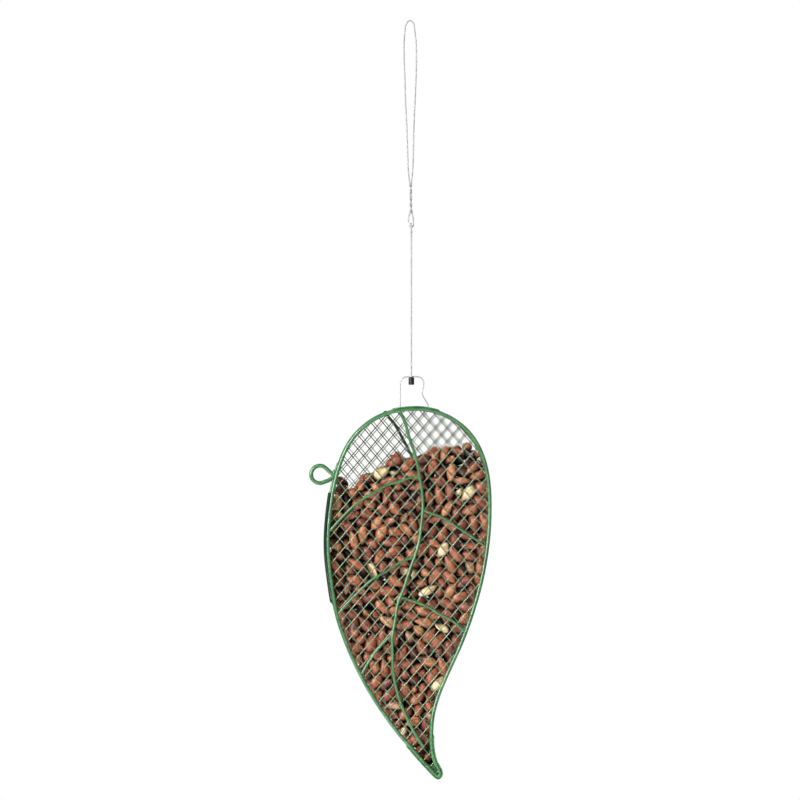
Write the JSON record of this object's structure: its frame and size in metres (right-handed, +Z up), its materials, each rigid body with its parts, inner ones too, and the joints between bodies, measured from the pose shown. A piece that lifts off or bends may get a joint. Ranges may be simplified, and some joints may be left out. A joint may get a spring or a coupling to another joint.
{
  "type": "hanging bird feeder",
  "caption": "Leaf-shaped wire mesh peanut feeder with a hinged filling door, hung by a bail on a steel cable loop.",
  "frame": {"origin": "underside of the cable at the top of the hanging loop, where it bears on a hook", "axes": "+X to the right across the leaf, +Y from the front panel to the rear panel, +Z up along the cable"},
  "size_m": [0.1452, 0.041, 0.6067],
  "materials": {
    "green_paint": "gloss",
    "dark_green_paint": "gloss",
    "steel_cable": "satin",
    "dark_ferrule": "satin",
    "peanut_skin": "satin"
  },
  "bodies": {
    "loop": {"hanging_loop": "steel_cable", "loop_splice": "steel_cable"},
    "cable": {"cable_drop": "steel_cable", "ferrule": "dark_ferrule"},
    "bail": {"bail": "steel_cable"},
    "feeder": {"front_ring": "green_paint", "rear_ring": "green_paint", "front_midrib": "green_paint", "rear_midrib": "green_paint", "front_vein_upper_left": "green_paint", "front_vein_middle_left": "green_paint", "front_vein_lower_left": "green_paint", "front_vein_upper_right": "green_paint", "front_vein_lower_right": "green_paint", "rear_vein_upper_left": "green_paint", "rear_vein_middle_left": "green_paint", "rear_vein_lower_left": "green_paint", "rear_vein_upper_right": "green_paint", "rear_vein_lower_right": "green_paint", "front_mesh": "green_paint", "rear_mesh": "green_paint", "side_mesh": "green_paint", "top_strap": "green_paint", "tip_strap": "green_paint", "door_head_wire": "green_paint", "door_sill_wire": "green_paint", "hinge_pin": "green_paint", "peanuts": "peanut_skin"},
    "door": {"door_plate": "dark_green_paint", "handle_shank": "green_paint", "handle_loop": "green_paint"}
  },
  "joints": [
    {"name": "cable_sway", "type": "hinge", "parent": "loop", "child": "cable", "pos_m": [0.0009, 0, -0.1632], "axis": [0, 1, 0], "range_deg": [-30, 30]},
    {"name": "bail_swivel", "type": "hinge", "parent": "cable", "child": "bail", "pos_m": [0.0009, 0, -0.2843], "axis": [0, 0, 1], "continuous": true},
    {"name": "feeder_swing", "type": "hinge", "parent": "bail", "child": "feeder", "pos_m": [0.003, 0, -0.31032], "axis": [1, 0, 0], "range_deg": [-45, 45]},
    {"name": "door_hinge", "type": "hinge", "parent": "feeder", "child": "door", "pos_m": [-0.06107, 0, -0.464], "axis": [0, -1, 0], "range_deg": [0, 110]}
  ]
}
